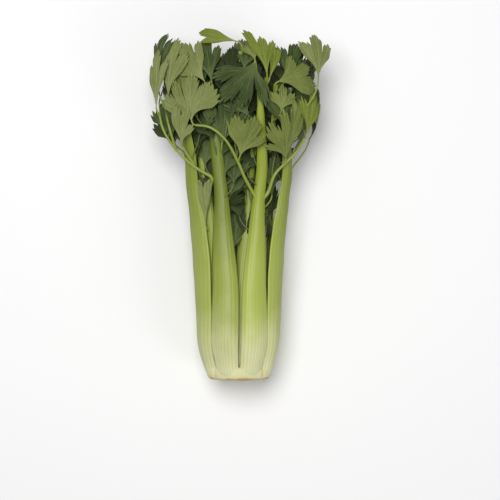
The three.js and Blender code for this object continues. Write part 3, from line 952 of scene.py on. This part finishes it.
def hides(points, line, centre, half_width):
    """Whether any point lies on a stalk or branch, or outside it as seen from the head's axis."""
    at = np.abs(points[:, 1][:, None] - line[:, 1][None]).argmin(axis=1)
    near = np.abs(points[:, 1] - line[at, 1]) < 3 * MM
    from_axis = (line[at] - centre)[:, [0, 2]]
    outward = unit(from_axis)
    gap = (points - line[at])[:, [0, 2]]
    out = (gap * outward).sum(axis=1)
    aside = np.abs(gap[:, 0] * outward[:, 1] - gap[:, 1] * outward[:, 0])
    return bool((near & (aside < half_width) & (out > -0.8 * half_width)).any())


ALONG = np.array([0.0, 1.0, 0.0])  # the way the stalks run


def small_leaf(name, base, forward, out, length, draws, materials, tone, start):
    """A plain inner leaf, bent down at its edges, with its stem from the given start."""
    side = np.cross(forward, out)
    bend = np.zeros(10)
    bend[3], bend[5] = -0.4 * LEAF_UNIT, draws.uniform(-0.5, 0.1) * LEAF_UNIT
    width = length * draws.uniform(0.85, 1.05)
    shape = {"base": base, "side": side, "forward": forward, "out": out, "bend": bend,
             "size": (width, length), "range": ((-width, width), (0, length))}
    style = PLAIN_STYLE | own_style(shape["size"], draws) | SMALL_STYLE
    blade = leaf_blade(name, shape, style, draws, SMALL_BLADE["rows"])
    coat(blade, materials[tone], materials[tone + "_under"])
    thicken(blade, SMALL_BLADE["thickness"])
    thin_start = 0.25 + 0.75 * ease(np.linspace(0, 4, STEM_POINTS))
    stem = leaf_stem(name + "_stem", start, ALONG, base, forward, 0.85 * MM * thin_start, sides=6)
    # Painted shade: the inner stems wear a darker copy of the branch green.
    coat(stem, materials["inner_stem"])
    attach(join(blade, stem), BODY)


def turned(forward, out, turn, roll, lift):
    """The way a leaf points and faces after a turn in its plane, a roll and a lift of its tip."""
    side = np.cross(forward, out)
    forward = unit(forward * math.cos(turn) + side * math.sin(turn) + out * lift)
    out = unit(out - forward * (out @ forward))
    side = np.cross(forward, out)
    return forward, unit(out * math.cos(roll) + side * math.sin(roll))


# Layers of inner leaves: depth as a share of the leafy part, leaves in a ring, and where the
# first ring stands along the head, in millimetres.
LAYERS = [(0.84, 17, 44), (0.6, 11, 14), (0.34, 6, 4)]
RING_STEP = 24
RINGS_END = 132
INNER_STEM_RUN = 22 * MM  # how far behind an inner leaf's base its stem leaves the stalk, or more
# What no inner leaf may cover, with about half its width.
SHOWN = {"stalk_outer_1": 5.5 * MM, "stalk_outer_4": 5.5 * MM, "stalk_outer_5": 5.5 * MM,
         "branch_4_left": 2.5 * MM, "branch_4_right": 2.5 * MM, "branch_2_left": 2 * MM}


def inner_leaves(materials, lines):
    """Leaves that fill the head between its outer leaves and its stalks, coloured darker as painted shade."""
    stations, rows = leaf_mass()
    all_lines = np.vstack(list(lines.values()))
    centre = np.array([rows[:, 0].mean(), 0, rows[:, 1].mean()])
    draws = np.random.default_rng(11)
    for layer, (depth, ring, first) in enumerate(LAYERS):
        for row, along in enumerate(np.arange(first, RINGS_END, RING_STEP)):
            for seat in range(ring):
                station = (along + draws.uniform(-8, 8)) * MM
                angle = 2 * math.pi * (seat + 0.5 * (row % 2) + draws.uniform(-0.25, 0.25)) / ring
                length = draws.uniform(28, 40) * MM
                ahead = min(station + 0.8 * length, stations[-1])
                here, there = (through(stations, rows, np.array([y]))[0] for y in (station, ahead))
                half = np.minimum(here[2:], there[2:]) * depth
                round_it = np.array([math.cos(angle), math.sin(angle)])
                out = unit(np.array([round_it[0] / half[0], 0, round_it[1] / half[1]]))
                base = np.array([here[0] + half[0] * round_it[0], station, here[1] + half[1] * round_it[1]])
                tip = np.array([there[0] + half[0] * round_it[0], ahead, there[1] + half[1] * round_it[1]])
                forward, out = turned(unit(tip - base), out, draws.uniform(-0.55, 0.55),
                                      draws.uniform(-0.6, 0.6), draws.uniform(-0.3, 0.2))
                side = np.cross(forward, out)
                places = np.linspace(0, 1, 9)
                covered = np.array([base + (forward * v + side * u * v) * length
                                    for v in places for u in places[::2] - 0.5])
                if any(hides(covered, lines[n], centre, wide) for n, wide in SHOWN.items()):
                    continue
                # Painted shade: the inner leaves wear the dark leaf greens.
                tone = "leaf_dark" if draws.random() < 0.4 else "leaf_inner"
                behind = all_lines[all_lines[:, 1] < base[1] - INNER_STEM_RUN]
                start = behind[np.linalg.norm(behind - base, axis=1).argmin()]
                name = f"inner_leaf_{layer + 1}_{row + 1}_{seat + 1}"
                small_leaf(name, base, forward, out, length, draws, materials, tone, start)


# Leaves in the gaps, by the two stalks or branches beside each: place between them from 0 to 1,
# where the leaf's base stands along the head, its length, and how deep it sits, in millimetres.
GAP_LEAVES = {
    ("stalk_outer_3", "stalk_outer_4"): [(0.3, -46, 40, 7), (0.68, -36, 38, 8), (0.5, -14, 40, 6),
                                         (0.25, 8, 38, 6), (0.72, 12, 42, 6), (0.45, 34, 40, 5),
                                         (0.8, 52, 36, 5)],
    ("stalk_outer_4", "stalk_outer_5"): [(0.4, -40, 34, 8), (0.6, -12, 34, 7), (0.4, 14, 36, 6),
                                         (0.65, 38, 34, 5)],
    ("stalk_outer_1", "stalk_outer_3"): [(0.52, 14, 38, -2), (0.6, 40, 36, -2), (0.42, 58, 34, -2)],
    ("branch_2_left", "stalk_outer_1"): [(0.1, 60, 36, 5), (0, 72, 34, 4)],
}
STEM_RUN = 26 * MM  # how far behind a gap leaf's base its stem leaves the stalk


def point_at(line, station):
    return line[np.abs(line[:, 1] - station).argmin()]


def gap_leaves(materials, lines):
    """Small leaves of the heart, deep between the stalks that face up, coloured dark as painted shade in the
    gaps.
    """
    draws = np.random.default_rng(5)
    places = [(pair, *place) for pair, places in GAP_LEAVES.items() for place in places]
    for number, (pair, share, along, length, sunk) in enumerate(places):
        left, right = (point_at(lines[node], along * MM) for node in pair)
        across = unit((right - left) * [1, 0, 1])
        out = unit(np.array([-across[2], 0, across[0]]))
        base = left + (right - left) * share - out * sunk * MM
        base[1] = along * MM
        forward, out = turned(ALONG, out, draws.uniform(-0.25, 0.25), draws.uniform(-0.35, 0.35),
                              draws.uniform(0.0, 0.12))
        starts = [point_at(lines[node], base[1] - STEM_RUN) for node in pair]
        start = min(starts, key=lambda point: np.linalg.norm(point - base))
        # Painted shade: the gap leaves wear the dark leaf greens.
        tone = "leaf_dark" if number % 3 == 0 else "leaf_inner"
        name = f"gap_leaf_{number + 1}"
        small_leaf(name, base, forward, out, length * MM, draws, materials, tone, start)


# ---------------------------------------------------------------- the head

stage()
made = make_materials()
middle_lines = carriers()
for node in sorted(NODES):
    if node.startswith("stalk_outer"):
        stalk_piece(node, made, "stalk", ribs=9)
    elif node.startswith("stalk_middle"):
        stalk_piece(node, made, "stalk", ribs=7)
    elif node.startswith("stalk_heart"):
        stalk_piece(node, made, "heart", ribs=5)
    elif node.startswith("branch"):
        branch_piece(node, made, middle_lines)
base_piece("base", made)
for number, node in enumerate(sorted(n for n in NODES if n.startswith("leaf"))):
    leaf_piece(node, number, made, middle_lines)
inner_leaves(made, middle_lines)
gap_leaves(made, middle_lines)
